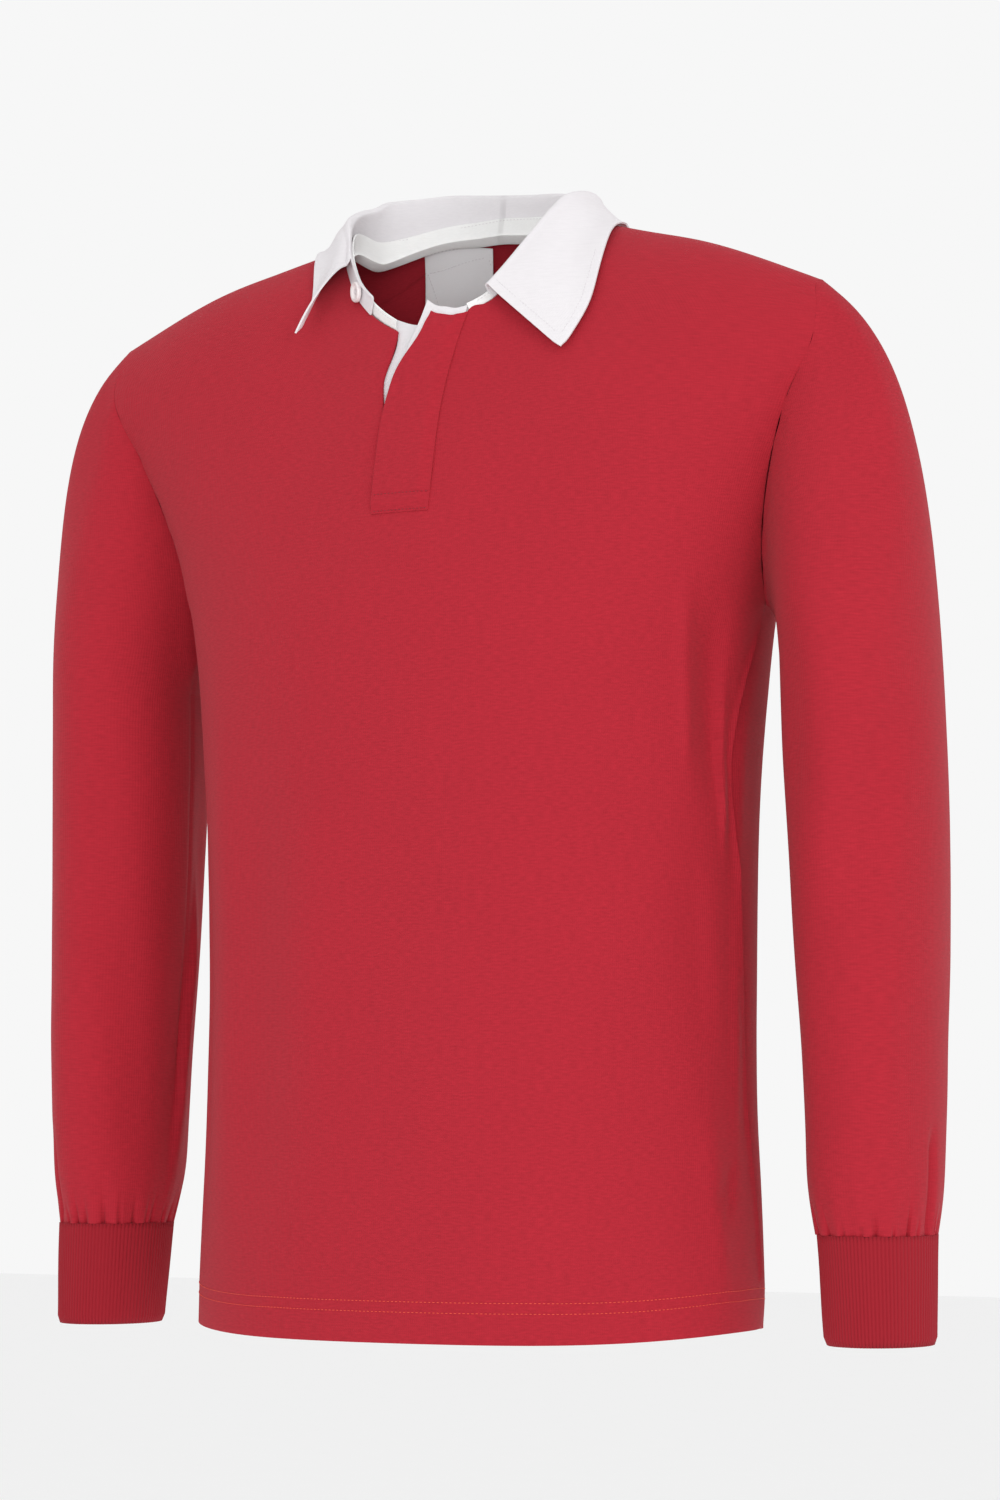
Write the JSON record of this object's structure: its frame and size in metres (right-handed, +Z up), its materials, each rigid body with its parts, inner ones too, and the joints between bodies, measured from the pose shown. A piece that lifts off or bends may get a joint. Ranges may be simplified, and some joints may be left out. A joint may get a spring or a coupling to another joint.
{
  "type": "rugby shirt",
  "caption": "Long-sleeved rugby shirt in heavy jersey with a twill collar, a button placket, set-in sleeves and ribbed cuffs, filled out as worn, open at neck, hem and cuffs.",
  "frame": {"origin": "on the garment's middle plane, in the middle of the neck opening from side to side, level with the tops of the shoulders at the neck, where the wearer's shoulders carry it", "axes": "+Z up, the garment's front faces -Y, +X towards the wearer's left arm"},
  "size_m": [0.647, 0.248, 0.7706],
  "materials": {
    "jersey": "heavy cotton jersey, matt",
    "rib_knit": "ribbed cotton knit, matt",
    "white_twill": "cotton twill, matt",
    "tape": "woven herringbone tape, matt",
    "label": "woven satin label",
    "button": "soft sheen"
  },
  "bodies": {
    "root": {"front": "jersey", "back": "jersey", "sleeve_left": "jersey", "sleeve_right": "jersey", "cuff_left": "rib_knit", "cuff_right": "rib_knit", "placket": "jersey", "placket_facing": "white_twill", "underlay": "white_twill", "collar": "white_twill", "neck_tape": "tape", "neck_label": "label", "button": "button"}
  },
  "joints": []
}
